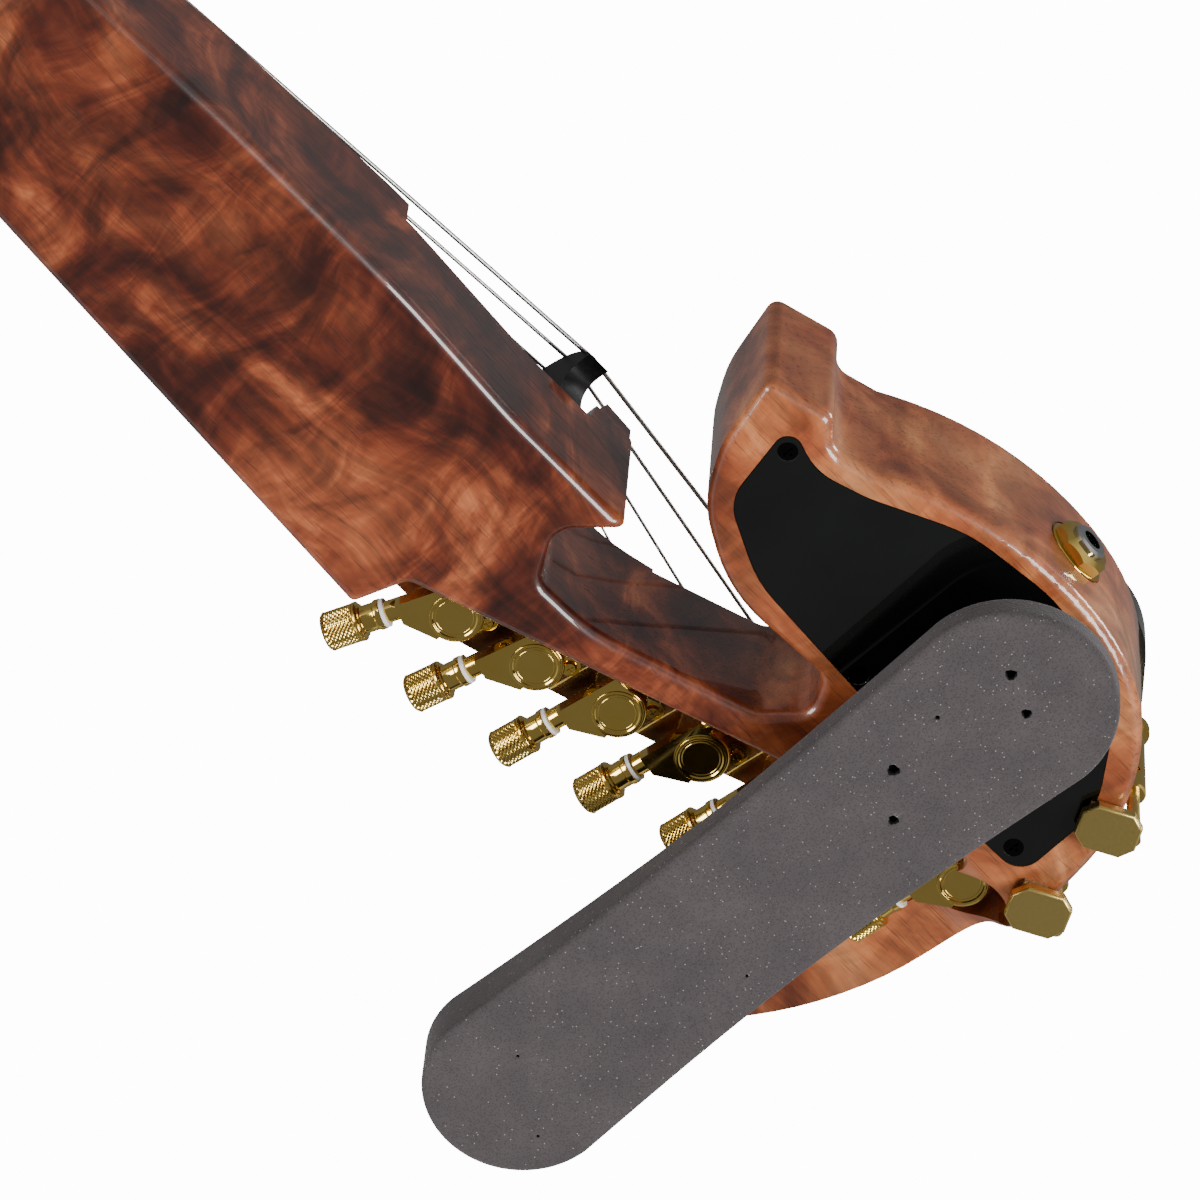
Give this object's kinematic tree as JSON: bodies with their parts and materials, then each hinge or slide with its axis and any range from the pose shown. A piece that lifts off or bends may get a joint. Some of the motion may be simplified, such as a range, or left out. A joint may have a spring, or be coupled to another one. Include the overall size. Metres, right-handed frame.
{
  "type": "electric violin",
  "caption": "Solid walnut electric violin held by a foam chest pad, with body-mounted geared tuners along its spine, a clamped chinrest, a control cavity cover and a jack.",
  "frame": {"origin": "centre of the chest pad's outer face", "axes": "+X along the strings from the pad towards the neck, +Y towards the lower bout's bass side, +Z from the back towards the strings"},
  "size_m": [0.5668, 0.258, 0.1035],
  "materials": {
    "figured_walnut": "high gloss lacquer over figured walnut",
    "black_board": "satin black phenolic",
    "bone": "polished bone",
    "black_metal": "black anodised",
    "black_bridge": "satin black",
    "black_gloss_plate": "high gloss",
    "black_screws": "black oxide",
    "chrome": "polished",
    "gold": "polished pale gold plating",
    "circuit_board": "solder mask",
    "battery_case": "printed metal case",
    "black_foam": "closed-cell foam",
    "black_plate": "moulded",
    "black_spacers": "matt",
    "black_chinrest": "gloss",
    "cork": "sanded cork",
    "steel": "plated",
    "white_nylon": "moulded nylon",
    "string_steel": "wound steel"
  },
  "bodies": {
    "instrument": {"body": "figured_walnut", "fingerboard": "black_board", "nut": "bone", "string_anchor": "black_metal", "bridge": "black_bridge", "control_cover": "black_gloss_plate", "cover_screws": "black_screws", "jack_socket": "chrome", "jack_washer": "gold", "jack_nut": "gold", "preamp_board": "circuit_board", "battery": "battery_case", "pad_foam": "black_foam", "pad_plate": "black_plate", "pad_spacers": "black_spacers", "pad_screws": "black_screws", "chinrest": "black_chinrest", "chinrest_cork": "cork", "chinrest_bracket": "gold", "control_pots": "steel", "tuner_caps": "gold", "tuner_washers": "white_nylon", "tuner_bushings": "gold", "tuner_screws": "gold", "tuner_housing_1": "gold", "string_1": "string_steel", "tuner_housing_2": "gold", "string_2": "string_steel", "tuner_housing_3": "gold", "string_3": "string_steel", "tuner_housing_4": "gold", "string_4": "string_steel", "tuner_housing_5": "gold", "string_5": "string_steel", "tuner_housing_6": "gold", "string_6": "string_steel", "tuner_housing_7": "gold", "string_7": "string_steel"},
    "button_1": {"tuner_button_1": "gold"},
    "post_1": {"tuner_post_1": "gold"},
    "button_2": {"tuner_button_2": "gold"},
    "post_2": {"tuner_post_2": "gold"},
    "button_3": {"tuner_button_3": "gold"},
    "post_3": {"tuner_post_3": "gold"},
    "button_4": {"tuner_button_4": "gold"},
    "post_4": {"tuner_post_4": "gold"},
    "button_5": {"tuner_button_5": "gold"},
    "post_5": {"tuner_post_5": "gold"},
    "button_6": {"tuner_button_6": "gold"},
    "post_6": {"tuner_post_6": "gold"},
    "button_7": {"tuner_button_7": "gold"},
    "post_7": {"tuner_post_7": "gold"},
    "volume_knob": {"volume_knob": "gold"},
    "tone_knob": {"tone_knob": "gold"},
    "barrel_1": {"chinrest_barrel_1": "gold"},
    "foot_1": {"chinrest_foot_1": "gold", "chinrest_foot_cork_1": "cork"},
    "barrel_2": {"chinrest_barrel_2": "gold"},
    "foot_2": {"chinrest_foot_2": "gold", "chinrest_foot_cork_2": "cork"}
  },
  "joints": [
    {"name": "button_1_turn", "type": "hinge", "parent": "instrument", "child": "button_1", "pos_m": [0.11441, -0.02101, 0.05], "axis": [0.342, -0.9397, 0], "continuous": true},
    {"name": "post_1_turn", "type": "hinge", "parent": "instrument", "child": "post_1", "pos_m": [0.1084, -0.0232, 0.057], "axis": [0, 0, 1], "continuous": true},
    {"name": "button_2_turn", "type": "hinge", "parent": "instrument", "child": "button_2", "pos_m": [0.08731, -0.01514, 0.05], "axis": [0.225, -0.9744, 0], "continuous": true},
    {"name": "post_2_turn", "type": "hinge", "parent": "instrument", "child": "post_2", "pos_m": [0.08107, -0.01658, 0.057], "axis": [0, 0, 1], "continuous": true},
    {"name": "button_3_turn", "type": "hinge", "parent": "instrument", "child": "button_3", "pos_m": [0.06008, -0.00823, 0.05], "axis": [0.1392, -0.9903, 0], "continuous": true},
    {"name": "post_3_turn", "type": "hinge", "parent": "instrument", "child": "post_3", "pos_m": [0.05374, -0.00912, 0.057], "axis": [0, 0, 1], "continuous": true},
    {"name": "button_4_turn", "type": "hinge", "parent": "instrument", "child": "button_4", "pos_m": [0.03276, -0.00004, 0.05], "axis": [0.1219, -0.9925, 0], "continuous": true},
    {"name": "post_4_turn", "type": "hinge", "parent": "instrument", "child": "post_4", "pos_m": [0.02641, -0.00082, 0.057], "axis": [0, 0, 1], "continuous": true},
    {"name": "button_5_turn", "type": "hinge", "parent": "instrument", "child": "button_5", "pos_m": [0.00545, 0.00893, 0.05], "axis": [0.0958, -0.9954, 0], "continuous": true},
    {"name": "post_5_turn", "type": "hinge", "parent": "instrument", "child": "post_5", "pos_m": [-0.00092, 0.00832, 0.057], "axis": [0, 0, 1], "continuous": true},
    {"name": "button_6_turn", "type": "hinge", "parent": "instrument", "child": "button_6", "pos_m": [-0.02187, 0.0188, 0.05], "axis": [0.0785, -0.9969, 0], "continuous": true},
    {"name": "post_6_turn", "type": "hinge", "parent": "instrument", "child": "post_6", "pos_m": [-0.02825, 0.0183, 0.057], "axis": [0, 0, 1], "continuous": true},
    {"name": "button_7_turn", "type": "hinge", "parent": "instrument", "child": "button_7", "pos_m": [-0.04919, 0.02951, 0.05], "axis": [0.061, -0.9981, 0], "continuous": true},
    {"name": "post_7_turn", "type": "hinge", "parent": "instrument", "child": "post_7", "pos_m": [-0.05558, 0.02912, 0.057], "axis": [0, 0, 1], "continuous": true},
    {"name": "volume_turn", "type": "hinge", "parent": "instrument", "child": "volume_knob", "pos_m": [0.0675, 0.0765, 0.08], "axis": [0, 0, 1], "range_deg": [0, 300]},
    {"name": "tone_turn", "type": "hinge", "parent": "instrument", "child": "tone_knob", "pos_m": [0.0415, 0.0835, 0.08], "axis": [0, 0, 1], "range_deg": [0, 300]},
    {"name": "barrel_1_turn", "type": "hinge", "parent": "instrument", "child": "barrel_1", "pos_m": [-0.06607, 0.08616, 0.077], "axis": [0, 0, 1], "range_deg": [0, 1444]},
    {"name": "foot_1_slide", "type": "slide", "parent": "instrument", "child": "foot_1", "axis": [0, 0, -1], "range_m": [0, 0.004]},
    {"name": "barrel_2_turn", "type": "hinge", "parent": "instrument", "child": "barrel_2", "pos_m": [-0.0748, 0.04893, 0.077], "axis": [0, 0, 1], "range_deg": [0, 1444]},
    {"name": "foot_2_slide", "type": "slide", "parent": "instrument", "child": "foot_2", "axis": [0, 0, -1], "range_m": [0, 0.004]}
  ],
  "couplings": [
    {"joint": "post_1_turn", "follows": "button_1_turn", "ratio": 0.0625},
    {"joint": "post_2_turn", "follows": "button_2_turn", "ratio": 0.0625},
    {"joint": "post_3_turn", "follows": "button_3_turn", "ratio": 0.0625},
    {"joint": "post_4_turn", "follows": "button_4_turn", "ratio": 0.0625},
    {"joint": "post_5_turn", "follows": "button_5_turn", "ratio": 0.0625},
    {"joint": "post_6_turn", "follows": "button_6_turn", "ratio": 0.0625},
    {"joint": "post_7_turn", "follows": "button_7_turn", "ratio": 0.0625},
    {"joint": "barrel_1_turn", "follows": "foot_1_slide", "rad_per_m": 6283.2},
    {"joint": "barrel_2_turn", "follows": "foot_2_slide", "rad_per_m": 6283.2}
  ]
}
